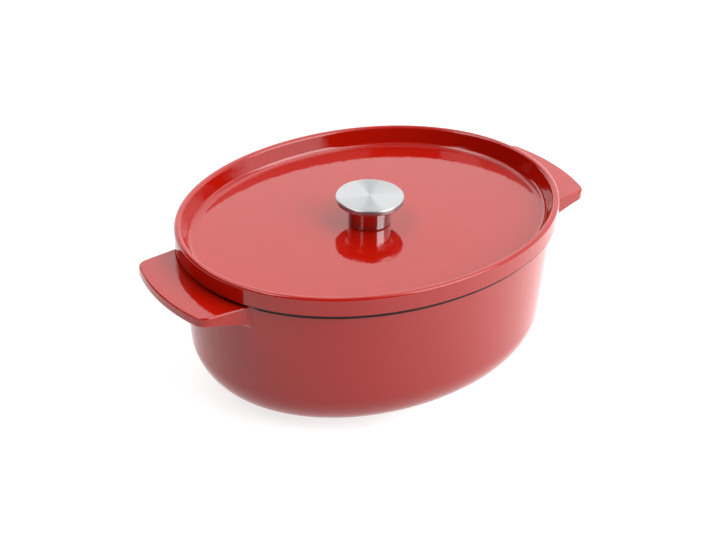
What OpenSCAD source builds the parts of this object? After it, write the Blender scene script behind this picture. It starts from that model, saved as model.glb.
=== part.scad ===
// Oval enamelled cast iron dutch oven: a pot with two flat side handles, and a recessed lid with a
// stainless steel knob. The origin is the centre of the base, X runs along the oval, Z points up.

/* [Oval] */
// Length of the lid's outer edge
lid_length = 300; // [270:1:330]
// Width of the lid's outer edge
lid_width = 243; // [225:1:265]

/* [Pot] */
// Height of the rim that the lid rests on
pot_height = 108.2; // [90:0.1:130]
// How far the wall's top stands inside the lid's edge
pot_setback = 3; // [2:0.1:4]
// Draft of the wall, in degrees
pot_draft = 4.9; // [2:0.1:7]
// Radius of the bottom corner
pot_corner = 36; // [25:1:42]
// Thickness of the wall and floor
pot_wall = 4.5; // [3.5:0.1:6]
// Depth of the shallow recess under the base
foot_recess = 0.8; // [0.4:0.1:1.5]
// Width of the resting ring round that recess
foot_ring = 10; // [6:1:16]

/* [Handles] */
// Height of the flat top face
handle_top = 106.1; // [80:0.1:106.2]
// Distance of the outer edge from the middle
handle_reach = 178; // [172:0.5:185]
// Radius of the curved outer edge, seen from above
handle_arc = 140; // [130:1:145]
// Radius of the two outer corners, seen from above
handle_corner = 10; // [8:1:14]
// Thickness at the outer edge
handle_edge = 7.7; // [4.5:0.1:8]
// Slope of the underside, in degrees
handle_slope = 14.5; // [4:0.5:15]
// Rounding of the top edge
handle_round = 1.2; // [0.8:0.1:2.5]

/* [Lid] */
// Height of the outer band
lid_band = 15; // [10:0.1:20]
// Width of the rim's flat top
lid_land = 4.6; // [3:0.1:6]
// Depth of the deck below the rim's top
lid_recess = 14; // [9:0.1:14.3]
// Slope of the rim's inner wall from upright, in degrees
lid_slope = 21; // [10:1:30]
// Radius between the inner wall and the deck
lid_fillet = 5.5; // [3:0.5:7]
// Thickness of the deck
lid_deck = 4.5; // [3.5:0.1:6]
// Depth of the locating lip below the seat
lip_drop = 5.2; // [4:0.1:8]
// Width of the locating lip
lip_width = 3.4; // [2.5:0.1:5]
// Gap between the lip and the pot's wall
lip_gap = 1; // [0.5:0.1:2]

/* [Knob] */
// Diameter of the top disc
knob_diameter = 50.8; // [44:0.1:58]
// Thickness of the disc at its edge
knob_edge = 4.2; // [2.5:0.1:5]
// Bevel round the disc's top edge
knob_bevel = 0.5; // [0.3:0.1:1]
// Bevel round the disc's lower edge
knob_lower_bevel = 1.2; // [0.5:0.1:1.5]
// Height of the knob above the deck
knob_height = 22; // [18:0.1:28]
// Radius of the stem just under the disc
stem_top_radius = 16; // [14:0.1:17.5]
// Radius of the stem at its foot
stem_foot_radius = 15.7; // [14:0.1:16]
// Thickness of the stem's sheet
stem_sheet = 1.2; // [0.8:0.1:1.6]

/* [Fastener] */
// Diameter of the screw's shank
screw_diameter = 6; // [5:0.5:8]
// Diameter of the screw's head
head_diameter = 12; // [10:0.5:14]
// Height of the screw's head
head_height = 3.8; // [3:0.1:5]

/* [Hidden] */
$fn = 96;
enamel = "firebrick";
steel = "silver";

// Far enough to reach past the centre of any arc of the oval
past_centre = 260;
sector_reach = 500;
// How far a cutting shape overshoots the face that it cuts
over = 1;
edge_round = 1;

// The oval is drawn with four arcs that are tangent where they meet.
half_length = lid_length / 2;
half_width = lid_width / 2;
// The centres and the middle make a 3-4-5 triangle, so the arcs meet on round numbers.
end_centre = 1.5 * (half_length - half_width);
side_centre = 2 * (half_length - half_width);
end_radius = half_length - end_centre;
side_radius = half_width + side_centre;
end_direction = [0.6, 0.8];

deck_top = pot_height + lid_band - lid_recess;
deck_under = deck_top - lid_deck;
rim_top = pot_height + lid_band;

handle_fill = 20;
handle_bottom = handle_top - handle_fill;
handle_arc_centre = handle_reach - handle_arc;
// The direction from the outer edge's centre to a corner's: 24, 7 and 25 are a right triangle's sides.
corner_direction = [0.96, 0.28];
corner = (handle_arc - handle_corner) * corner_direction;
// The sides spread a little towards the wall: 237, 3116 and 3125 are a right triangle's sides.
side_normal = [0.07584, 0.99712];
handle_root = 120;
handle_root_width = 120;
side_length = 60;

flat_washer_radius = 9;
flat_washer_height = 1.2;
lock_washer_radius = 5.6;
lock_washer_height = 1.6;
lock_washer_gap = 14;
hole_play = 0.25;
thread_play = 0.05;
insert_radius = 6;
screw_top = deck_top + 12;
thread_depth = 14;
head_top = deck_under - flat_washer_height - lock_washer_height;
slot_width = 1.6;
slot_depth = 1.8;
cap_under = deck_top + knob_height - knob_edge;
cap_sheet = 1.2;
neck_height = 2.4;

// Sweeps a flat profile round the oval: x is the inset from the lid's edge, y is the height.
module oval_sweep() {
    for (turn = [0, 180])
        rotate([0, 0, turn]) {
            translate([end_centre, 0, 0])
                sector(end_direction)
                    inset_from(end_radius) children();
            translate([0, -side_centre, 0])
                rotate([0, 0, 90])
                    sector([end_direction.y, end_direction.x])
                        inset_from(side_radius) children();
        }
}

// Turns a flat profile about the upright axis, and keeps what lies within a direction and its mirror image.
module sector(direction) {
    intersection() {
        rotate_extrude()
            children();
        translate([0, 0, -sector_reach])
            linear_extrude(2 * sector_reach)
                polygon([
                    [0, 0],
                    sector_reach * direction,
                    sector_reach * [direction.x, -direction.y]
                ]);
    }
}

// Turns insets into radii of one arc, and cuts the profile off at that arc's centre.
module inset_from(radius) {
    intersection() {
        translate([radius, 0])
            mirror([1, 0])
                children();
        translate([0, -past_centre])
            square([radius + past_centre, 2 * past_centre]);
    }
}

// The section of a dish: a drafted wall that runs through a round corner into a flat bottom.
module dish(inset, top, bottom, draft, radius) {
    corner_inset = inset + (top - bottom - radius) * tan(draft) + radius / cos(draft);
    corner_height = bottom + radius;
    polygon([
        [inset, top],
        [corner_inset - radius * cos(draft), corner_height - radius * sin(draft)],
        [corner_inset, bottom],
        [past_centre, bottom],
        [past_centre, top]
    ]);
    intersection() {
        translate([corner_inset, corner_height])
            circle(radius);
        translate([corner_inset - radius, bottom])
            square(radius);
    }
}

// What is cut away to round an outer edge whose corner is at the origin and whose body is up and right.
module edge_cut(radius) {
    difference() {
        translate([-over, -over])
            square(radius + over);
        translate([radius, radius])
            circle(radius);
    }
}

function wall_inset(height, offset) =
    pot_setback + (pot_height - height) * tan(pot_draft) + offset / cos(pot_draft);

// The pot's outside, or its cavity when the offset is the wall's thickness.
module pot_dish(offset, top) {
    dish(wall_inset(top, offset), top, offset, pot_draft, pot_corner - offset);
}

// Half of a plate's section, from the middle out to a rounded top edge.
module plate_half(reach) {
    square([reach, handle_fill - handle_round]);
    square([reach - handle_round, handle_fill]);
    translate([reach - handle_round, handle_fill - handle_round])
        circle(handle_round);
}

// One flat handle: a curved outer edge, two round corners and straight sides that run into the wall.
module handle() {
    difference() {
        translate([0, 0, handle_bottom]) {
            translate([handle_arc_centre, 0, 0])
                sector(corner_direction)
                    plate_half(handle_arc);
            for (side = [0, 1])
                mirror([0, side, 0])
                    handle_corner_and_side();
        }
        handle_underside();
        // The part behind the wall
        translate([0, -handle_root_width / 2, 0])
            cube([handle_root, handle_root_width, pot_height]);
    }
}

module handle_corner_and_side() {
    translate([handle_arc_centre + corner.x, corner.y, 0]) {
        intersection() {
            rotate_extrude()
                plate_half(handle_corner);
            linear_extrude(handle_fill)
                polygon([
                    [0, 0],
                    sector_reach * corner_direction,
                    sector_reach * side_normal
                ]);
        }
        side_frame()
            translate([-corner.y, 0, -side_length])
                linear_extrude(side_length)
                    plate_half(corner.y + handle_corner);
    }
}

// Stands a flat section up on a handle's side: its X becomes the side's outward normal.
module side_frame() {
    multmatrix([
        [side_normal.x, 0, side_normal.y, 0],
        [side_normal.y, 0, -side_normal.x, 0],
        [0, 1, 0, 0],
        [0, 0, 0, 1]
    ])
        children();
}

// What is cut away below a handle: flat at the outer edge, then sloping so that it is thickest at the wall.
module handle_underside() {
    edge_height = handle_top - handle_edge;
    slope_start = handle_arc_centre + corner.x;
    slope_end = edge_height - (slope_start - handle_root) * tan(handle_slope);
    rotate([90, 0, 0])
        linear_extrude(2 * handle_arc, center = true)
            polygon([
                [handle_reach + over, edge_height],
                [slope_start, edge_height],
                [handle_root, slope_end],
                [handle_root, handle_bottom - handle_fill],
                [handle_reach + over, handle_bottom - handle_fill]
            ]);
}

module pot() {
    color(enamel)
        difference() {
            union() {
                oval_sweep()
                    difference() {
                        pot_dish(0, pot_height);
                        translate([pot_setback, pot_height])
                            mirror([0, 1])
                                edge_cut(edge_round);
                    }
                for (turn = [0, 180])
                    rotate([0, 0, turn])
                        handle();
            }
            oval_sweep()
                pot_dish(pot_wall, pot_height + over);
            // The recess that leaves a ring to rest on
            oval_sweep()
                translate([wall_inset(pot_corner, 0) + pot_corner / cos(pot_draft) + foot_ring, -over])
                    square([past_centre, over + foot_recess]);
        }
}

// The lid's section: an upright band, a rim round the recess, a thin deck, a flat seat and a lip.
module lid_section() {
    lip_inset = wall_inset(pot_height, pot_wall) + lip_gap;
    difference() {
        union() {
            translate([0, pot_height])
                square([past_centre, lid_band]);
            translate([lip_inset, deck_under])
                square([past_centre, lid_deck]);
            translate([lip_inset, pot_height - lip_drop])
                square([lip_width, lip_drop + over]);
        }
        dish(lid_land, rim_top, deck_top, lid_slope, lid_fillet);
        translate([lip_inset + lip_width, deck_under - lid_deck])
            square([past_centre, lid_deck]);
        translate([0, rim_top])
            mirror([0, 1])
                edge_cut(edge_round);
        translate([0, pot_height])
            edge_cut(edge_round);
    }
}

module lid() {
    color(enamel)
        difference() {
            oval_sweep()
                lid_section();
            translate([0, 0, deck_under - over])
                cylinder(h = lid_deck + 2 * over, r = screw_diameter / 2 + hole_play);
        }
}

// The disc: a flat top, an upright edge with a bevel above and below, and a hollow inside the stem.
module knob_cap() {
    color(steel)
        translate([0, 0, cap_under])
            rotate_extrude()
                polygon([
                    [0, knob_edge - cap_sheet],
                    [stem_top_radius - stem_sheet, knob_edge - cap_sheet],
                    [stem_top_radius - stem_sheet, 0],
                    [stem_top_radius, 0],
                    [knob_diameter / 2 - knob_lower_bevel, 0],
                    [knob_diameter / 2, knob_lower_bevel],
                    [knob_diameter / 2, knob_edge - knob_bevel],
                    [knob_diameter / 2 - knob_bevel, knob_edge],
                    [0, knob_edge]
                ]);
}

// The drawn tube, with a foot turned in at the bottom and a neck that flares out to meet the disc.
module knob_stem() {
    color(steel)
        translate([0, 0, deck_top])
            rotate_extrude()
                difference() {
                    polygon([
                        [stem_foot_radius - 4, 0],
                        [stem_foot_radius, 0],
                        [stem_top_radius, cap_under - deck_top - neck_height],
                        [stem_top_radius + neck_height, cap_under - deck_top],
                        [stem_top_radius - stem_sheet, cap_under - deck_top],
                        [stem_top_radius - stem_sheet, cap_under - deck_top - neck_height],
                        [stem_foot_radius - stem_sheet, stem_sheet],
                        [stem_foot_radius - 4, stem_sheet]
                    ]);
                    translate([stem_foot_radius, 0])
                        mirror([1, 0])
                            edge_cut(edge_round);
                }
}

// The threaded post under the disc.
module knob_insert() {
    post_top = cap_under + knob_edge - cap_sheet;
    color("dimgray")
        difference() {
            translate([0, 0, deck_top])
                cylinder(h = post_top - deck_top, r = insert_radius);
            translate([0, 0, deck_top - over])
                cylinder(h = thread_depth + over, r = screw_diameter / 2 + thread_play);
        }
}

// The screw: a domed head below the lid, and a shank that reaches up into the post.
module knob_screw() {
    color("gray")
        difference() {
            union() {
                translate([0, 0, head_top - head_height])
                    rotate_extrude()
                        difference() {
                            square([head_diameter / 2, head_height]);
                            translate([head_diameter / 2, 0])
                                mirror([1, 0])
                                    edge_cut(edge_round);
                        }
                translate([0, 0, head_top - over])
                    cylinder(h = screw_top - head_top + over, r = screw_diameter / 2);
            }
            for (turn = [0, 90])
                rotate([0, 0, turn])
                    translate([-head_diameter / 3, -slot_width / 2, head_top - head_height - over])
                        cube([head_diameter * 2 / 3, slot_width, slot_depth + over]);
        }
}

// A ring round the screw, with an optional gap.
module washer(bottom, height, radius, gap) {
    bore = screw_diameter / 2 + hole_play;
    translate([0, 0, bottom])
        rotate_extrude(angle = 360 - gap)
            translate([bore, 0])
                square([radius - bore, height]);
}

module lock_washer() {
    color("gray")
        washer(head_top, lock_washer_height, lock_washer_radius, lock_washer_gap);
}

module flat_washer() {
    color("lightgray")
        washer(deck_under - flat_washer_height, flat_washer_height, flat_washer_radius, 0);
}

pot();
lid();
knob_cap();
knob_stem();
knob_insert();
knob_screw();
lock_washer();
flat_washer();
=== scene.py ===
"""Looks of an oval enamelled cast iron dutch oven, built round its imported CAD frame."""

import math

import bmesh
import bpy
import numpy as np
from mathutils import Matrix, Vector


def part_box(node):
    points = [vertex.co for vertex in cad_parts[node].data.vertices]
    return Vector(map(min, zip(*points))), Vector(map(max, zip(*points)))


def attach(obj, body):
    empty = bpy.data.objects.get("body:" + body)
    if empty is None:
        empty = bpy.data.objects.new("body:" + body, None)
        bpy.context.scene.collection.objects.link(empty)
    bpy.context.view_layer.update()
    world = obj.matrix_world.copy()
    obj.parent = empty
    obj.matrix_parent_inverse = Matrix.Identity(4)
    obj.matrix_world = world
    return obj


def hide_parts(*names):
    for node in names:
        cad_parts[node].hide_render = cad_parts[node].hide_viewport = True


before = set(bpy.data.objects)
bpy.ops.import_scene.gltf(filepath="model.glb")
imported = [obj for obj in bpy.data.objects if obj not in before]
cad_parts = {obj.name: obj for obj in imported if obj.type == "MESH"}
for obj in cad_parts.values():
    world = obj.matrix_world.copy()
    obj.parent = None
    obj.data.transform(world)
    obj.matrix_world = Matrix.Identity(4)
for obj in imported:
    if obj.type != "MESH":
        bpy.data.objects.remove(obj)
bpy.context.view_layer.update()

MM = 0.001
# Less than this is taken as nothing.
NOTHING = 0.0001 * MM

# ---------------------------------------------------------------- sizes, worked out from the frame

POT_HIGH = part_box("pot")[1]
LID_LOW, LID_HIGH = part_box("lid")
CAP_LOW, CAP_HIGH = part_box("knob_cap")
STEM_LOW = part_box("knob_stem")[0]
WASHER_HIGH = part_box("flat_washer")[1]

HALF_LENGTH = LID_HIGH[0]
HALF_WIDTH = LID_HIGH[1]
SEAT = POT_HIGH[2]
RIM_TOP = LID_HIGH[2]
DECK = STEM_LOW[2]
DECK_UNDER = WASHER_HIGH[2]
HANDLE_REACH = POT_HIGH[0]

# The oval is a superellipse, just fuller than an ellipse.
OVAL_POWER = 2.037
# Points round the oval, and the much closer points they are chosen from
AROUND = 256
FINE_AROUND = 20001

POT_SETBACK = 3.0 * MM
POT_DRAFT = math.radians(4.9)
POT_CORNER = 36 * MM
POT_WALL = 4.5 * MM
FOOT_RECESS = 0.8 * MM
FOOT_RING = 10 * MM
FOOT_STEP = 0.6 * MM
FOOT_ROUND = 0.5 * MM
RIM_ROUND_OUT = 0.9 * MM
RIM_ROUND_IN = 1.2 * MM

LID_LAND = 4.6 * MM
LID_SLOPE = math.radians(21)
LID_LOWER_ROUND = 1.3 * MM
LID_UPPER_ROUND = 2.1 * MM
LID_INNER_ROUND = 2.6 * MM
LID_FILLET = 5.5 * MM
LIP_PLAY = 1.0 * MM
LIP_INSET = POT_SETBACK + POT_WALL / math.cos(POT_DRAFT) + LIP_PLAY
LIP_WIDTH = 3.4 * MM
LIP_ROUND_ROOT = 1.0 * MM
LIP_ROUND_IN = 0.6 * MM
LIP_ROUND_OUT = 0.8 * MM
HOLE_RADIUS = 3.25 * MM
# Circles of points round the screw's hole, where the oval rings give way to round ones
HOLE_RINGS = [24 * MM, 18 * MM, 12 * MM, 7 * MM]
DECK_STEPS = 12
# How far a flat runs on past a rounded corner before plain rings take over
FLAT_START = 5 * MM

HANDLE_DROP = 2.1 * MM
HANDLE_TOP = SEAT - HANDLE_DROP
HANDLE_ARC = 140 * MM
HANDLE_CORNER = 10 * MM
HANDLE_EDGE = 7.7 * MM
HANDLE_SLOPE = math.tan(math.radians(14.5))
SLOPE_SOFTNESS = 5 * MM
HANDLE_ROUND_TOP = 1.2 * MM
HANDLE_ROUND_UNDER = 1.8 * MM
FILLET_TOP = 1.0 * MM
FILLET_SIDE = 2.6 * MM
FILLET_UNDER = 4.0 * MM
# The angle at which the handle's sides spread towards the wall
HANDLE_SPREAD = math.asin(0.07584)


# ---------------------------------------------------------------- the oval and what is swept round it

def oval_points():
    """Evenly spaced points on the lid's edge, from +X anticlockwise, with their outward normals."""
    fine = np.linspace(0, 2 * math.pi, FINE_AROUND)
    c, s = np.cos(fine), np.sin(fine)
    x = HALF_LENGTH * np.sign(c) * np.abs(c) ** (2 / OVAL_POWER)
    y = HALF_WIDTH * np.sign(s) * np.abs(s) ** (2 / OVAL_POWER)
    run = np.concatenate([[0], np.cumsum(np.hypot(np.diff(x), np.diff(y)))])
    at = np.arange(AROUND) / AROUND * run[-1]
    points = np.stack([np.interp(at, run, x), np.interp(at, run, y)], -1)
    return points, oval_normals(points)


def oval_normals(points):
    """Outward unit normals of the oval at points on it."""
    x, y = points[:, 0] / HALF_LENGTH, points[:, 1] / HALF_WIDTH
    gx = np.sign(x) * np.abs(x) ** (OVAL_POWER - 1) / HALF_LENGTH
    gy = np.sign(y) * np.abs(y) ** (OVAL_POWER - 1) / HALF_WIDTH
    return np.stack([gx, gy], -1) / np.hypot(gx, gy)[:, None]


OVAL, OVAL_NORMAL = oval_points()


def ring(inset, height):
    """One ring of points, parallel to the oval."""
    flat = OVAL - inset * OVAL_NORMAL
    return np.column_stack([flat, np.full(len(flat), height)])


def round_ring(radius, height):
    """One circle, with its points in the same directions as the oval's."""
    angle = np.arctan2(OVAL[:, 1], OVAL[:, 0])
    heights = np.full(len(angle), height)
    return np.column_stack([radius * np.cos(angle), radius * np.sin(angle), heights])


def between(first, last, steps):
    """Rings that pass from one ring to another, both left out."""
    return [first + (last - first) * k / steps for k in range(1, steps)]


def rounded(corners, step=math.radians(12)):
    """A path through corners (x, y, radius), each made an arc that is tangent to both its sides."""
    path = []
    points = [np.array(c[:2], float) for c in corners]
    for k, (x, y, radius) in enumerate(corners):
        if k in (0, len(corners) - 1) or radius == 0:
            path.append(points[k])
            continue
        back = points[k - 1] - points[k]
        ahead = points[k + 1] - points[k]
        back, ahead = back / np.linalg.norm(back), ahead / np.linalg.norm(ahead)
        half = math.acos(float(np.clip(back @ ahead, -1, 1))) / 2
        middle = (back + ahead) / np.linalg.norm(back + ahead)
        centre = points[k] + middle * radius / math.sin(half)
        start = points[k] + back * radius / math.tan(half) - centre
        sweep = math.pi - 2 * half
        if back[0] * ahead[1] - back[1] * ahead[0] > 0:
            sweep = -sweep
        count = max(3, math.ceil(abs(sweep) / step))
        for n in range(count + 1):
            c, s = math.cos(sweep * n / count), math.sin(sweep * n / count)
            path.append(centre + np.array([c * start[0] - s * start[1], s * start[0] + c * start[1]]))
    return path


# How strongly a piece's larger faces draw the normals at their corners
FLAT_WEIGHT = 80


class Builder:
    """Collects vertices and faces, with a material number for each face."""

    def __init__(self):
        self.vertices = []
        self.faces = []
        self.materials = []

    def add(self, points):
        """Adds vertices and returns their numbers."""
        first = len(self.vertices)
        self.vertices.extend(tuple(map(float, p)) for p in points)
        return list(range(first, first + len(points)))

    def face(self, corners, material=0):
        """Adds a face, without the corners that repeat the one before."""
        kept = [c for k, c in enumerate(corners) if c != corners[k - 1]]
        if len(kept) > 2:
            self.faces.append(kept)
            self.materials.append(material)

    def band(self, low, high, material=0, closed=True, skip=(), dark=()):
        """Quads between two rows of vertex numbers. Those numbered in dark get the second material."""
        count = len(low) if closed else len(low) - 1
        for k in range(count):
            if k not in skip:
                n = (k + 1) % len(low)
                self.face([low[k], low[n], high[n], high[k]], 1 if k in dark else material)

    def fan(self, row, tip, material=0):
        self.band(row, [tip] * len(row), material)

    def object(self, name, materials, body):
        """Makes a smooth piece that rides on a body, with its flat faces shaded flat."""
        used = sorted({n for face in self.faces for n in face})
        place = {n: k for k, n in enumerate(used)}
        mesh = bpy.data.meshes.new(name)
        mesh.from_pydata([self.vertices[n] for n in used], [],
                         [[place[n] for n in face] for face in self.faces])
        mesh.polygons.foreach_set("material_index", self.materials)
        for material in materials:
            mesh.materials.append(material)
        mesh.polygons.foreach_set("use_smooth", [True] * len(mesh.polygons))
        solid = bmesh.new()
        solid.from_mesh(mesh)
        bmesh.ops.recalc_face_normals(solid, faces=solid.faces)
        solid.to_mesh(mesh)
        solid.free()
        piece = bpy.data.objects.new(name, mesh)
        bpy.context.scene.collection.objects.link(piece)
        normals = piece.modifiers.new("even_flats", "WEIGHTED_NORMAL")
        normals.weight = FLAT_WEIGHT
        normals.keep_sharp = True
        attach(piece, body)
        return piece


def rings(path):
    """One ring round the oval for each (inset, height) pair of a path."""
    return [ring(inset, height) for inset, height in path]


# ---------------------------------------------------------------- lid

def lid_path():
    """The lid's section, from the deck's underside, round the lip and the band, to the deck's top."""
    recess_run = (RIM_TOP - DECK) * math.tan(LID_SLOPE)
    return rounded([
        (LIP_INSET + LIP_WIDTH + FLAT_START, DECK_UNDER, 0),
        (LIP_INSET + LIP_WIDTH, DECK_UNDER, LIP_ROUND_ROOT),
        (LIP_INSET + LIP_WIDTH, LID_LOW[2], LIP_ROUND_IN),
        (LIP_INSET, LID_LOW[2], LIP_ROUND_OUT),
        (LIP_INSET, SEAT, LIP_ROUND_OUT),
        (0, SEAT, LID_LOWER_ROUND),
        (0, RIM_TOP, LID_UPPER_ROUND),
        (LID_LAND, RIM_TOP, LID_INNER_ROUND),
        (LID_LAND + recess_run, DECK, LID_FILLET),
        (LID_LAND + recess_run + FLAT_START, DECK, 0),
    ])


def flat_rings(outer, height):
    """Rings that cover a flat, from its outer ring in to the screw's hole, with both left out."""
    towards = between(outer, round_ring(HOLE_RINGS[0], height), DECK_STEPS)
    return towards + [round_ring(radius, height) for radius in HOLE_RINGS]


def make_lid(enamel, lining_and_seam_shade):
    """The lid's casting: red above and outside, dark from the seat inwards and underneath."""
    build = Builder()
    path = lid_path()
    side = [build.add(row) for row in rings(path)]
    deck = flat_rings(ring(*path[-1]), DECK) + [round_ring(HOLE_RADIUS, DECK)]
    deck = [side[-1]] + [build.add(row) for row in deck]
    under = [round_ring(HOLE_RADIUS, DECK_UNDER)] + flat_rings(ring(*path[0]), DECK_UNDER)[::-1]
    under = [deck[-1]] + [build.add(row) for row in under] + [side[0]]
    # The seat ends, and the red begins, at the first point on the band's outer face.
    band = next(k for k, (inset, _) in enumerate(path) if inset < NOTHING)
    for k, (low, high) in enumerate(zip(side, side[1:])):
        build.band(low, high, 1 if k < band else 0)
    for rows, material in ((deck, 0), (under, 1)):
        for low, high in zip(rows, rows[1:]):
            build.band(low, high, material)
    lid = build.object("lid_casting", [enamel, lining_and_seam_shade], "lid")
    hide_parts("lid")


# ---------------------------------------------------------------- pot and its handles

# The oval's own parameter over its +X end, well past both sides of the handle
FINE = np.linspace(-0.42, 0.42, 4001) * math.pi


def wall_inset(height):
    """How far the pot's wall stands inside the lid's edge at a height."""
    return POT_SETBACK + (SEAT - height) * math.tan(POT_DRAFT)


def fine_end():
    """The oval's +X end as closely spaced points and normals, in the order of increasing Y."""
    c, s = np.cos(FINE), np.sin(FINE)
    points = np.stack([
        HALF_LENGTH * np.abs(c) ** (2 / OVAL_POWER),
        HALF_WIDTH * np.sign(s) * np.abs(s) ** (2 / OVAL_POWER),
    ], -1)
    return points, oval_normals(points)


END, END_NORMAL = fine_end()


def on_wall(y, z):
    """The point of the wall's +X end at a given Y and Z."""
    row = END - wall_inset(z) * END_NORMAL
    return np.array([np.interp(y, row[:, 1], row[:, 0]), y, z])


# The patch of the wall's grid that a handle takes up: PATCH points to each side of the middle one
PATCH = 18
ACROSS = 2 * PATCH + 1
PATCH_TOP = SEAT - 1.0 * MM
PATCH_BOTTOM = SEAT - 25 * MM
# Points down each side of a handle: a third round the top edge, a third down, a third round the lower
SIDE_STEPS = 12
SIDE_THIRD = SIDE_STEPS // 3
CORNER_STEPS = 10
# Rings of faces in the patch, in the fillet at the wall, out along the handle and across its end
PATCH_STEPS = 4
FILLET_STEPS = 6
OUTWARD_STEPS = 6
END_STEPS = 4
# How far the recess and the cavity's floor run before plain rings take over, how many those are,
# and the turn between two points of the pot's arcs
RECESS_START = 6 * MM
FLOOR_START = 40 * MM
FLOOR_STEPS = 8
POT_ARC_STEP = math.radians(6)
# Rounds in which the line where the handle meets the wall settles
MEETING_ROUNDS = 30

# Plan of a handle: where its outer arc is centred, how far the arc turns to each side, where the
# corners are centred, and where the sides begin
ARC_CENTRE = HANDLE_REACH - HANDLE_ARC
CORNER_TURN = math.asin(0.28)
CORNER_X = ARC_CENTRE + (HANDLE_ARC - HANDLE_CORNER) * math.cos(CORNER_TURN)
CORNER_Y = (HANDLE_ARC - HANDLE_CORNER) * math.sin(CORNER_TURN)
SIDE_X = CORNER_X + HANDLE_CORNER * math.sin(HANDLE_SPREAD)
HANDLE_HALF = CORNER_Y + HANDLE_CORNER * math.cos(HANDLE_SPREAD)


def handle_outline():
    """Points and outward normals round the handle's free edge, from -Y to +Y, seen from above."""
    arc_steps = ACROSS - 1 - 2 * CORNER_STEPS
    side_turn = math.pi / 2 - HANDLE_SPREAD
    turns = np.concatenate([
        np.linspace(-side_turn, -CORNER_TURN, CORNER_STEPS, endpoint=False),
        np.linspace(-CORNER_TURN, CORNER_TURN, arc_steps, endpoint=False),
        np.linspace(CORNER_TURN, side_turn, CORNER_STEPS + 1),
    ])
    points = []
    for turn in turns:
        normal = np.array([math.cos(turn), math.sin(turn)])
        if abs(turn) <= CORNER_TURN:
            points.append(np.array([ARC_CENTRE, 0]) + HANDLE_ARC * normal)
        else:
            side = math.copysign(1, turn)
            points.append(np.array([CORNER_X, side * CORNER_Y]) + HANDLE_CORNER * normal)
    return np.array(points), np.stack([np.cos(turns), np.sin(turns)], -1)


OUTLINE, OUTLINE_NORMAL = handle_outline()


def spread(x):
    """How much wider the handle is at X than where its corners begin."""
    return 1 + max(0, SIDE_X - x) * math.tan(HANDLE_SPREAD) / HANDLE_HALF


def handle_bottom(x):
    """Height of the handle's underside: flat near the free edge, then lower towards the wall."""
    run = SIDE_X - x
    return HANDLE_TOP - HANDLE_EDGE - HANDLE_SLOPE * (math.hypot(run, SLOPE_SOFTNESS) + run) / 2


def edge_profile(x):
    """The free edge's section as (inset, height), between the top face and the underside."""
    low = handle_bottom(x)
    profile = []
    for k in range(SIDE_THIRD):
        turn = math.pi / 2 * (k + 1) / SIDE_THIRD
        profile.append((HANDLE_ROUND_TOP * (1 - math.sin(turn)),
                        HANDLE_TOP - HANDLE_ROUND_TOP * (1 - math.cos(turn))))
    first, last = HANDLE_TOP - HANDLE_ROUND_TOP, low + HANDLE_ROUND_UNDER
    for k in range(SIDE_THIRD):
        profile.append((0, first + (last - first) * (k + 1) / (SIDE_THIRD + 1)))
    for k in range(SIDE_THIRD):
        turn = math.pi / 2 * k / SIDE_THIRD
        profile.append((HANDLE_ROUND_UNDER * (1 - math.cos(turn)),
                        last - HANDLE_ROUND_UNDER * math.sin(turn)))
    return profile


def section_loop(reach):
    """One loop of points round the handle; reach gives each point's X from its number in the loop."""
    top = OUTLINE[:, 1] - HANDLE_ROUND_TOP * OUTLINE_NORMAL[:, 1]
    under = OUTLINE[:, 1] - HANDLE_ROUND_UNDER * OUTLINE_NORMAL[:, 1]
    loop = []
    for y in top:
        x = reach(len(loop))
        loop.append((x, y * spread(x), HANDLE_TOP))
    for k in range(SIDE_STEPS):
        x = reach(len(loop))
        inset, z = edge_profile(x)[k]
        loop.append((x, HANDLE_HALF * spread(x) - inset, z))
    for y in under[::-1]:
        x = reach(len(loop))
        loop.append((x, y * spread(x), handle_bottom(x)))
    for k in reversed(range(SIDE_STEPS)):
        x = reach(len(loop))
        inset, z = edge_profile(x)[k]
        loop.append((x, inset - HANDLE_HALF * spread(x), z))
    return np.array(loop)


def loop_directions():
    """For each point of a section loop, the outward direction across the section."""
    out = [(0.0, 1.0)] * ACROSS
    for k in range(SIDE_THIRD):
        turn = math.pi / 2 * (k + 1) / SIDE_THIRD
        out.append((math.sin(turn), math.cos(turn)))
    out += [(1.0, 0.0)] * SIDE_THIRD
    for k in range(SIDE_THIRD):
        turn = math.pi / 2 * k / SIDE_THIRD
        out.append((math.cos(turn), -math.sin(turn)))
    out += [(0.0, -1.0)] * ACROSS
    side = out[ACROSS:ACROSS + SIDE_STEPS]
    out += [(-y, z) for y, z in reversed(side)]
    return np.array(out)


def fillet_radii(directions):
    """A small fillet where the top meets the wall, a larger one at the sides and below."""
    return np.array([
        FILLET_SIDE * abs(y) ** 2 + (FILLET_TOP if z > 0 else FILLET_UNDER) * z ** 2
        for y, z in directions
    ])


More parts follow.
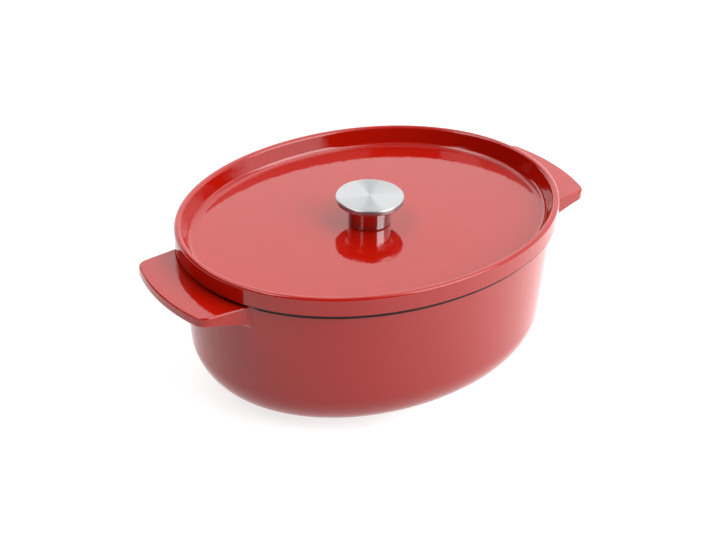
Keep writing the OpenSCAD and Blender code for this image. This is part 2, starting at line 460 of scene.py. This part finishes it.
def handle_loops():
    """Loops from the wall out to where the handle's corners begin, and the first one's Y and Z."""
    directions = loop_directions()
    radii = fillet_radii(directions)
    meet = np.full(len(directions), HALF_LENGTH)
    for _ in range(MEETING_ROUNDS):
        loop = section_loop(lambda n: meet[n])
        meet = np.array([on_wall(p[1], p[2])[0] for p in loop])
    meeting = section_loop(lambda n: meet[n])
    start = meet + radii
    outer = section_loop(lambda n: start[n])
    wall_y = meeting[:, 1] + directions[:, 0] * radii
    wall_z = meeting[:, 2] + directions[:, 1] * radii
    inner = np.array([on_wall(y, z) for y, z in zip(wall_y, wall_z)])
    loops = []
    for k in range(FILLET_STEPS + 1):
        t = k / FILLET_STEPS
        loops.append((1 - t) ** 2 * inner + 2 * t * (1 - t) * meeting + t * t * outer)
    for k in range(1, OUTWARD_STEPS + 1):
        t = k / OUTWARD_STEPS
        loops.append(section_loop(lambda n: start[n] + (SIDE_X - start[n]) * t))
    return wall_y, wall_z, loops


def add_handle(build, rows, turned):
    """Joins one handle to the rows of the wall's grid, in which its patch has been left out."""
    flip = -1 if turned else 1
    middle = AROUND // 2 if turned else 0
    columns = [(middle + k) % AROUND for k in range(-PATCH, PATCH + 1)]

    def put(points):
        points = np.array(points)
        return build.add(points * [flip, flip, 1])

    border = [rows[-1][c] for c in columns]
    border += [row[columns[-1]] for row in rows[-2:0:-1]]
    border += [rows[0][c] for c in reversed(columns)]
    border += [row[columns[0]] for row in rows[1:-1]]
    border_at = np.array([build.vertices[n] for n in border]) * [flip, flip, 1]
    wall_y, wall_z, loops = handle_loops()
    # The wall above the handle gets the rim's dark material: partly the real dark rim, partly painted
    # shade of the seam under the lid's edge.
    above = {*range(ACROSS), len(border) - 1}
    previous = border
    for k in range(1, PATCH_STEPS):
        t = k / PATCH_STEPS
        y = border_at[:, 1] * (1 - t) + wall_y * t
        z = border_at[:, 2] * (1 - t) + wall_z * t
        row = put([on_wall(a, b) for a, b in zip(y, z)])
        build.band(previous, row, dark=above)
        previous = row
    row = put(loops[0])
    build.band(previous, row, dark=above)
    previous = row
    for loop in loops[1:]:
        row = put(loop)
        build.band(previous, row)
        previous = row
    add_handle_tip(build, previous, put)


def add_handle_tip(build, loop, put):
    """The free end: its edge, then its top face and its underside."""
    top = loop[:ACROSS]
    first_side = loop[ACROSS:ACROSS + SIDE_STEPS]
    under = loop[ACROSS + SIDE_STEPS:2 * ACROSS + SIDE_STEPS][::-1]
    last_side = loop[2 * ACROSS + SIDE_STEPS:][::-1]
    columns = []
    for k, (point, normal) in enumerate(zip(OUTLINE, OUTLINE_NORMAL)):
        if k == 0:
            columns.append([top[0], *last_side, under[0]])
        elif k == ACROSS - 1:
            columns.append([top[-1], *first_side, under[-1]])
        else:
            profile = edge_profile(point[0])
            profile = [(HANDLE_ROUND_TOP, HANDLE_TOP), *profile,
                       (HANDLE_ROUND_UNDER, handle_bottom(point[0]))]
            columns.append(put([[*(point - inset * normal), z] for inset, z in profile]))
    for a, b in zip(columns, columns[1:]):
        build.band(a, b, closed=False)
    for start, level in ((top, 0), (under, -1)):
        end = [column[level] for column in columns]
        from_points = np.array([build.vertices[n] for n in start])
        to_points = np.array([build.vertices[n] for n in end])
        previous = start
        for k in range(1, END_STEPS):
            points = from_points + (to_points - from_points) * k / END_STEPS
            if level == -1:
                points[:, 2] = [handle_bottom(abs(x)) for x in points[:, 0]]
            row = build.add(points)
            row[0], row[-1] = start[0], start[-1]
            build.band(previous, row, closed=False)
            previous = row
        build.band(previous, end, closed=False)


def make_pot(enamel, lining_and_seam_shade):
    """The pot's casting: the wall swept round the oval, then a handle at each end."""
    build = Builder()
    foot_corner = wall_inset(0)
    ring_inset = wall_inset(POT_CORNER) + POT_CORNER / math.cos(POT_DRAFT) + FOOT_RING
    base = rounded([
        (ring_inset + RECESS_START, FOOT_RECESS, 0),
        (ring_inset, FOOT_RECESS, FOOT_ROUND),
        (ring_inset - FOOT_STEP, 0, FOOT_ROUND),
        (foot_corner, 0, POT_CORNER),
        (wall_inset(PATCH_BOTTOM), PATCH_BOTTOM, 0),
    ], POT_ARC_STEP)
    patch = [
        (wall_inset(z), z)
        for z in np.linspace(PATCH_BOTTOM, PATCH_TOP, SIDE_STEPS + 2)
    ]
    cavity = wall_inset(SEAT) + POT_WALL / math.cos(POT_DRAFT)
    cavity_foot = cavity + (SEAT - POT_WALL) * math.tan(POT_DRAFT)
    rim = rounded([
        (*patch[-1], 0),
        (POT_SETBACK, SEAT, RIM_ROUND_OUT),
        (cavity, SEAT, RIM_ROUND_IN),
        (cavity_foot, POT_WALL, POT_CORNER - POT_WALL),
        (cavity_foot + FLOOR_START, POT_WALL, 0),
    ], POT_ARC_STEP)
    base_rows = [build.add(row) for row in rings(base)]
    patch_rows = [base_rows[-1]] + [build.add(row) for row in rings(patch[1:])]
    rim_rows = [patch_rows[-1]] + [build.add(row) for row in rings(rim[1:])]
    for low, high in zip(base_rows, base_rows[1:]):
        build.band(low, high)
    half = AROUND // 2
    cut = {(m + k) % AROUND for m in (0, half) for k in range(-PATCH, PATCH)}
    # The outer wall's top band, just under the lid's edge, and the rim above it get the dark material:
    # partly the real dark rim, partly painted shade of the seam.
    for low, high in zip(patch_rows, patch_rows[1:]):
        build.band(low, high, 1 if high is patch_rows[-1] else 0, skip=cut)
    for low, high in zip(rim_rows, rim_rows[1:]):
        build.band(low, high, 1)
    for edge, height, material in ((base_rows[0], FOOT_RECESS, 0), (rim_rows[-1], POT_WALL, 1)):
        outer = np.array([build.vertices[n] for n in edge])
        previous = edge
        for t in np.linspace(1, 0, FLOOR_STEPS + 1)[1:-1]:
            row = build.add(outer * [t, t, 1])
            build.band(previous, row, material)
            previous = row
        tip = build.add([(0, 0, height)])[0]
        build.fan(previous, tip, material)
    for turned in (False, True):
        add_handle(build, patch_rows, turned)
    pot = build.object("pot_casting", [enamel, lining_and_seam_shade], "pot")
    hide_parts("pot")


# ---------------------------------------------------------------- knob

KNOB_AROUND = 128
# The disc is solid outside the tube and only a sheet inside it.
DISC_SHEET = 1.2 * MM
DISC_ROUND_TOP = 1.2 * MM
DISC_ROUND_UNDER = 1.1 * MM
DISC_ROUND_INSIDE = 0.5 * MM
# Rings on the disc's flat top, as parts of its radius
DISC_RINGS = (0.8, 0.5)
# The tube: radii outside from the foot up to the flare, and inside from the flare down to the foot
TUBE_FOOT = 15.7 * MM
TUBE_NECK = 16 * MM
TUBE_FLARE = 18.4 * MM
TUBE_INSIDE = 14.8 * MM
TUBE_INSIDE_FOOT = 14.5 * MM
TUBE_HOLE = 11.7 * MM
TUBE_SHEET = 1.2 * MM
FLARE_HEIGHT = 2.4 * MM
FLARE_ROUND = 2.5 * MM
CREASE = 0.1 * MM
SOFT_CREASE = 0.3 * MM


def turned_piece(name, path, material, body, node):
    """A turned piece. Its path of (radius, height) pairs begins and ends on the axis, or is a loop."""
    build = Builder()
    turn = np.arange(KNOB_AROUND) / KNOB_AROUND * 2 * math.pi
    rows = []
    for radius, height in path:
        if radius < NOTHING:
            rows.append(build.add([(0, 0, height)]) * KNOB_AROUND)
        else:
            heights = np.full(KNOB_AROUND, height)
            circle = np.stack([radius * np.cos(turn), radius * np.sin(turn), heights], -1)
            rows.append(build.add(circle))
    if path[0][0] > NOTHING:
        rows.append(rows[0])
    for low, high in zip(rows, rows[1:]):
        build.band(low, high)
    piece = build.object(name, [material], body)
    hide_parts(node)
    return piece


def make_disc(brushed):
    """The knob's top, drawn from inside the tube, round its edge and back along its top face."""
    under, top = CAP_LOW[2], CAP_HIGH[2]
    radius = CAP_HIGH[0]
    path = rounded([
        (0, top - DISC_SHEET, 0),
        (TUBE_INSIDE, top - DISC_SHEET, DISC_ROUND_INSIDE),
        (TUBE_INSIDE, under, CREASE),
        (radius, under, DISC_ROUND_UNDER),
        (radius, top, DISC_ROUND_TOP),
        *((radius * part, top, 0) for part in DISC_RINGS),
        (0, top, 0),
    ])
    disc = turned_piece("knob_disc", path, brushed, "lid", "knob_cap")


def make_tube(polished):
    """The knob's tube, drawn from its foot's hole, up its outside, and down its inside."""
    foot, top = STEM_LOW[2], CAP_LOW[2]
    path = rounded([
        (TUBE_HOLE, foot, 0),
        (TUBE_FOOT, foot, TUBE_SHEET),
        (TUBE_NECK, top - FLARE_HEIGHT, FLARE_ROUND),
        (TUBE_FLARE, top, CREASE),
        (TUBE_INSIDE, top, CREASE),
        (TUBE_INSIDE, top - FLARE_HEIGHT, SOFT_CREASE),
        (TUBE_INSIDE_FOOT, foot + TUBE_SHEET, SOFT_CREASE),
        (TUBE_HOLE, foot + TUBE_SHEET, 0),
    ])
    tube = turned_piece("knob_tube", path, polished, "lid", "knob_stem")


# ---------------------------------------------------------------- materials

class Nodes:
    """A short way to lay out a node tree."""

    def __init__(self, tree):
        self.tree = tree
        tree.nodes.clear()

    def add(self, kind, **inputs):
        """Adds a node. Its inputs are given by name, as numbers or as other nodes' outputs."""
        node = self.tree.nodes.new(kind)
        for name, value in inputs.items():
            self.set(node, name.replace("_", " "), value)
        return node

    def set(self, node, name, value):
        """Sets or links one input of a node, by its name or its number."""
        if isinstance(value, bpy.types.NodeSocket):
            self.tree.links.new(value, node.inputs[name])
        else:
            node.inputs[name].default_value = value

    def math(self, operation, a, b=0.0):
        node = self.tree.nodes.new("ShaderNodeMath")
        node.operation = operation
        self.set(node, 0, a)
        self.set(node, 1, b)
        return node.outputs[0]

    def noise(self, where, scale, detail, roughness=0.5):
        node = self.add("ShaderNodeTexNoise", Vector=where, Scale=scale, Detail=detail,
                        Roughness=roughness)
        return node.outputs["Fac"]

    def spread(self, value, low, high, to_low, to_high, smooth=False):
        """Maps low and high onto two other values. What lies outside is held at the nearer one."""
        node = self.tree.nodes.new("ShaderNodeMapRange")
        node.interpolation_type = "SMOOTHSTEP" if smooth else "LINEAR"
        for name, v in (("Value", value), ("From Min", low), ("From Max", high),
                        ("To Min", to_low), ("To Max", to_high)):
            self.set(node, name, v)
        return node.outputs["Result"]

    def mix(self, factor, a, b):
        """Mixes two colours, which are inputs 6 and 7 of the Mix node and its output 2."""
        node = self.tree.nodes.new("ShaderNodeMix")
        node.data_type = "RGBA"
        for socket, value in ((0, factor), (6, a), (7, b)):
            self.set(node, socket, value)
        return node.outputs[2]


def new_material(name):
    """An empty shader, with the object's own coordinates for its textures."""
    material = bpy.data.materials.new(name)
    material.use_nodes = True
    nodes = Nodes(material.node_tree)
    shader = nodes.add("ShaderNodeBsdfPrincipled")
    output = nodes.add("ShaderNodeOutputMaterial")
    nodes.tree.links.new(shader.outputs[0], output.inputs["Surface"])
    where = nodes.add("ShaderNodeTexCoord").outputs["Object"]
    return material, nodes, shader, where


def enamel_material():
    """Glossy red enamel: faint clouds and specks in its colour, and faint waves in its surface."""
    material, nodes, shader, where = new_material("red_enamel")
    shade = nodes.spread(nodes.noise(where, 14, 3), 0.3, 0.7, 0, 1)
    grain = nodes.spread(nodes.noise(where, 900, 2), 0.35, 0.75, 0, 0.25)
    colour = nodes.mix(shade, (0.335, 0.0050, 0.0012, 1), (0.352, 0.0056, 0.0014, 1))
    colour = nodes.mix(grain, colour, (0.318, 0.0044, 0.0011, 1))
    nodes.set(shader, "Base Color", colour)
    nodes.set(shader, "Roughness", nodes.spread(nodes.noise(where, 60, 3), 0.3, 0.7, 0.05, 0.09))
    shader.inputs["IOR"].default_value = 1.52
    peel = nodes.add("ShaderNodeBump", Strength=0.06, Distance=0.0002,
                     Height=nodes.noise(where, 330, 1))
    wave = nodes.add("ShaderNodeBump", Strength=0.13, Distance=0.0006,
                     Height=nodes.noise(where, 140, 1), Normal=peel.outputs[0])
    nodes.set(shader, "Normal", wave.outputs[0])
    return material


def lining_material():
    """Dark matt enamel inside the pot, under the lid and on the rim. It is also laid on the outer wall
    just under the lid's edge and above the handles, where its darkness is partly the real dark rim and
    partly painted shade of the seam.
    """
    material, nodes, shader, where = new_material("dark_enamel_and_seam_shade")
    speck = nodes.spread(nodes.noise(where, 1500, 2), 0.55, 0.7, 0, 1)
    colour = nodes.mix(speck, (0.018, 0.006, 0.005, 1), (0.034, 0.011, 0.008, 1))
    nodes.set(shader, "Base Color", colour)
    nodes.set(shader, "Roughness", nodes.spread(nodes.noise(where, 120, 3), 0.3, 0.7, 0.50, 0.62))
    shader.inputs["IOR"].default_value = 1.25
    sand = nodes.add("ShaderNodeBump", Strength=0.25, Distance=0.0002,
                     Height=nodes.noise(where, 1200, 3))
    nodes.set(shader, "Normal", sand.outputs[0])
    return material


def steel_material(name, tone, roughness):
    """Stainless steel with turned marks round the upright axis."""
    material, nodes, shader, where = new_material(name)
    x, y, z = nodes.add("ShaderNodeSeparateXYZ", Vector=where).outputs
    square = nodes.math("ADD", nodes.math("MULTIPLY", x, x), nodes.math("MULTIPLY", y, y))
    radius = nodes.math("SQRT", square)
    marks = nodes.add("ShaderNodeCombineXYZ")
    nodes.set(marks, "X", radius)
    nodes.set(marks, "Z", z)
    line = nodes.noise(marks.outputs[0], 2600, 2, 0.7)
    dark = (tone - 0.03, tone - 0.025, tone - 0.02, 1)
    bright = (tone + 0.03, tone + 0.035, tone + 0.04, 1)
    nodes.set(shader, "Base Color", nodes.mix(nodes.spread(line, 0.3, 0.7, 0, 1), dark, bright))
    nodes.set(shader, "Roughness", nodes.spread(line, 0.3, 0.7, roughness - 0.04, roughness + 0.04))
    shader.inputs["Metallic"].default_value = 1.0
    shader.inputs["Anisotropic"].default_value = 0.8
    shader.inputs["Anisotropic Rotation"].default_value = 0.25
    tangent = nodes.tree.nodes.new("ShaderNodeTangent")
    tangent.direction_type = "RADIAL"
    tangent.axis = "Z"
    nodes.set(shader, "Tangent", tangent.outputs[0])
    groove = nodes.add("ShaderNodeBump", Strength=0.08, Distance=0.00003, Height=line)
    nodes.set(shader, "Normal", groove.outputs[0])
    return material


def thread_material():
    """Plated steel of the screw, post and washers."""
    material, nodes, shader, where = new_material("plated_steel")
    patch = nodes.noise(where, 400, 4)
    nodes.set(shader, "Base Color", nodes.mix(nodes.spread(patch, 0.3, 0.7, 0, 1),
                                              (0.42, 0.42, 0.43, 1), (0.55, 0.55, 0.55, 1)))
    nodes.set(shader, "Roughness", nodes.spread(patch, 0.3, 0.7, 0.28, 0.42))
    shader.inputs["Metallic"].default_value = 1.0
    scratch = nodes.add("ShaderNodeBump", Strength=0.1, Distance=0.0001,
                        Height=nodes.noise(where, 2500, 2))
    nodes.set(shader, "Normal", scratch.outputs[0])
    return material


# ---------------------------------------------------------------- camera, floor and light

# The photograph's viewing angle and distance, as solved from the object's outlines in it
CAMERA_AZIMUTH = math.radians(-34.767)
CAMERA_ELEVATION = math.radians(31.400)
CAMERA_ROLL = 0.016747
CAMERA_DISTANCE = 1.346415
CAMERA_PAN = (-0.008694, -0.048346)
CAMERA_LENS = 91.59
CAMERA_SENSOR = 36


def make_camera():
    """The camera looks at the middle of the rim's top, moved a little across its own picture plane."""
    c, s = math.cos(CAMERA_AZIMUTH), math.sin(CAMERA_AZIMUTH)
    flat, rise = math.cos(CAMERA_ELEVATION), math.sin(CAMERA_ELEVATION)
    back = Vector((s * flat, -c * flat, rise))
    level = Vector((c, s, 0))
    upright = back.cross(level)
    right = level * math.cos(CAMERA_ROLL) + upright * math.sin(CAMERA_ROLL)
    up = upright * math.cos(CAMERA_ROLL) - level * math.sin(CAMERA_ROLL)
    place = Vector((0, 0, RIM_TOP)) + back * CAMERA_DISTANCE
    place = place + right * CAMERA_PAN[0] + up * CAMERA_PAN[1]
    data = bpy.data.cameras.new("camera")
    data.lens = CAMERA_LENS
    data.sensor_width = CAMERA_SENSOR
    camera = bpy.data.objects.new("camera", data)
    turn = Matrix((right, up, back)).transposed().to_4x4()
    camera.matrix_world = Matrix.Translation(place) @ turn
    bpy.context.scene.collection.objects.link(camera)
    bpy.context.scene.camera = camera


FLOOR_HALF = 6.0
# The floor's even glow left of the object's middle, and the stronger one from GLOW_RUN metres to its
# right, which is painted light
FLOOR_GLOW = 0.77
FLOOR_PAINTED_LIGHT_RIGHT = 1.7
GLOW_RUN = 0.3
# The part of the glow that lights other surfaces
FLOOR_BOUNCE = 0.44


def make_floor():
    """A sheet of pale paper, with a glow of its own so that it looks white, and a painted pool of
    light that grows to its right.
    """
    half = FLOOR_HALF
    mesh = bpy.data.meshes.new("floor")
    mesh.from_pydata([(-half, -half, 0), (half, -half, 0), (half, half, 0), (-half, half, 0)], [],
                     [(0, 1, 2, 3)])
    material, nodes, shader, where = new_material("pale_floor")
    shader.inputs["Base Color"].default_value = (0.30, 0.30, 0.30, 1)
    shader.inputs["Roughness"].default_value = 0.9
    shader.inputs["Specular IOR Level"].default_value = 0.0
    shader.inputs["Emission Color"].default_value = (1, 1, 1, 1)
    # Painted light: the glow grows to the right, where the strong lights stand.
    turn = nodes.add("ShaderNodeVectorRotate", Vector=where, Angle=-CAMERA_AZIMUTH)
    turn.rotation_type = "Z_AXIS"
    to_the_right = nodes.add("ShaderNodeSeparateXYZ", Vector=turn.outputs[0]).outputs["X"]
    glow = nodes.spread(to_the_right, 0.0, GLOW_RUN, FLOOR_GLOW, FLOOR_PAINTED_LIGHT_RIGHT)
    diffuse = nodes.add("ShaderNodeLightPath").outputs["Is Diffuse Ray"]
    thrown = nodes.spread(diffuse, 0, 1, 1, FLOOR_BOUNCE)
    nodes.set(shader, "Emission Strength", nodes.math("MULTIPLY", glow, thrown))
    mesh.materials.append(material)
    floor = bpy.data.objects.new("floor", mesh)
    bpy.context.scene.collection.objects.link(floor)


# Each box of light: where it begins and ends round the object, in degrees from straight behind it as
# the camera sees it (positive to the right), its lowest and highest point in degrees, and its
# strength. The last two are a dim one above the camera's side and the ceiling, which goes all round.
LIGHT_BOXES = [
    (-145, -133, 20, 47, 1.6),
    (-140, -93, 47, 72, 7.5),
    (-93, -30, 43, 72, 2.9),
    (-60, -30, -4, 22, 2.95),
    (-60, -30, 22, 43, 0.4),
    (-30, 30, -4, 22, 2.35),
    (-30, 30, 22, 47, 2.4),
    (-30, 30, 47, 72, 1.2),
    (30, 60, -4, 22, 1.65),
    (30, 60, 22, 47, 2.5),
    (30, 85, 47, 72, 3.5),
    (60, 93, 4, 22, 2.5),
    (60, 93, 22, 47, 1.4),
    (93, 134, 4, 18, 2.5),
    (93, 136, 18, 47, 9.0),
    (85, 140, 47, 72, 4.0),
    (140, 220, 47, 72, 0.6),
    (-190, 190, 72, 95, 0.4),
]
LIGHT_SOFTNESS = math.radians(2.5)
# Strength at which the sky's plain grey is white
BACKDROP = 1.25


def make_light():
    """A studio painted on the sky: soft boxes behind and at both sides, and little on the camera's."""
    world = bpy.data.worlds.new("studio")
    bpy.context.scene.world = world
    world.use_nodes = True
    nodes = Nodes(world.node_tree)
    where = nodes.add("ShaderNodeTexCoord").outputs["Generated"]
    total = 0.0
    for left, right, low, high, strength in LIGHT_BOXES:
        # Turning the sky puts the box's own middle at zero, away from the arc tangent's seam.
        turn = nodes.add("ShaderNodeVectorRotate", Vector=where,
                         Angle=-CAMERA_AZIMUTH + math.radians((left + right) / 2))
        turn.rotation_type = "Z_AXIS"
        x, y, z = nodes.add("ShaderNodeSeparateXYZ", Vector=turn.outputs[0]).outputs
        half = math.radians(right - left) / 2
        across = soft_window(nodes, nodes.math("ARCTAN2", x, y), -half, half)
        upright = soft_window(nodes, nodes.math("ARCSINE", z), math.radians(low), math.radians(high))
        box = nodes.math("MULTIPLY", nodes.math("MULTIPLY", across, upright), strength)
        total = nodes.math("ADD", box, total)
    background = nodes.add("ShaderNodeBackground")
    # The camera sees a white backdrop wherever it looks past the floor.
    seen = nodes.spread(nodes.add("ShaderNodeLightPath").outputs["Is Camera Ray"], 0, 1, 0, BACKDROP)
    nodes.set(background, "Strength", nodes.math("MAXIMUM", total, seen))
    output = nodes.add("ShaderNodeOutputWorld")
    nodes.tree.links.new(background.outputs[0], output.inputs["Surface"])


def soft_window(nodes, value, low, high):
    """1 between two limits and 0 outside them, with soft edges."""
    soft = LIGHT_SOFTNESS
    rise = nodes.spread(value, low - soft, low + soft, 0, 1, True)
    fall = nodes.spread(value, high - soft, high + soft, 1, 0, True)
    return nodes.math("MULTIPLY", rise, fall)


def main():
    make_camera()
    enamel, lining_and_seam_shade, plated = enamel_material(), lining_material(), thread_material()
    make_pot(enamel, lining_and_seam_shade)
    make_lid(enamel, lining_and_seam_shade)
    make_disc(steel_material("brushed_steel", 0.41, 0.38))
    make_tube(steel_material("polished_steel", 0.56, 0.18))
    for name in ("knob_insert", "knob_screw", "lock_washer", "flat_washer"):
        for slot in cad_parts[name].material_slots:
            slot.material = plated
    make_floor()
    make_light()
    bpy.context.scene.view_settings.view_transform = "Standard"


main()
